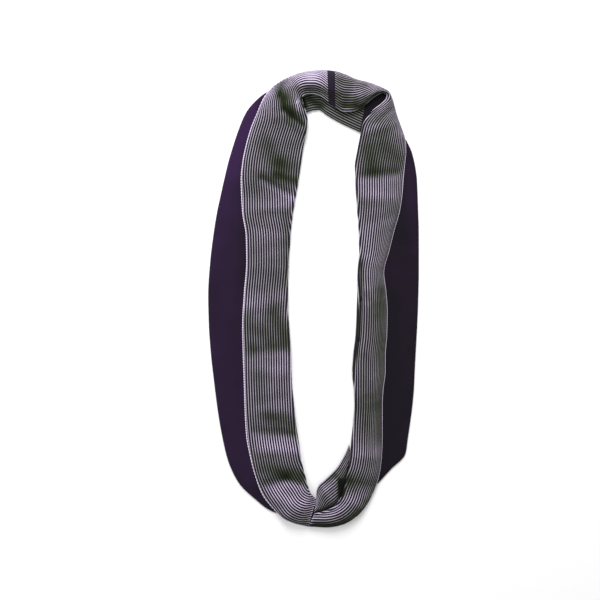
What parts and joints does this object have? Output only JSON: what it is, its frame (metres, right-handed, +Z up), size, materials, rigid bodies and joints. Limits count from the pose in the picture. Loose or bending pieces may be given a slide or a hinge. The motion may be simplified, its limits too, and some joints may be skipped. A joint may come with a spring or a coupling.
{
  "type": "infinity scarf",
  "caption": "Soft ribbed knit band closed into a long loop, folded lengthwise and laid flat, striped on one face and plain on the other, worn round the neck.",
  "frame": {"origin": "middle of the scarf on the floor it lies on", "axes": "+Z up from the floor, +Y along the loop towards the end with the join strip, +X across the loop towards the limb with the mitre fold"},
  "size_m": [0.3575, 0.7771, 0.0213],
  "materials": {
    "striped_knit": "fine ribbed knit, lilac grey and charcoal stripes along the loop",
    "shaded_knit": "the same striped ribbed knit on the under layer",
    "plain_knit": "smooth dark purple knit face",
    "join_knit": "plain dark purple strip sewn over the join"
  },
  "bodies": {
    "root": {"left_flap": "striped_knit", "arch_flap": "striped_knit", "join_strip": "join_knit", "shoulder_flap": "striped_knit", "right_flap": "striped_knit", "bottom_flap": "striped_knit", "bottom_bulge": "striped_knit", "arch_under": "shaded_knit", "turn_pocket": "plain_knit", "left_under": "plain_knit", "right_under": "plain_knit", "bottom_under": "plain_knit"}
  },
  "joints": []
}
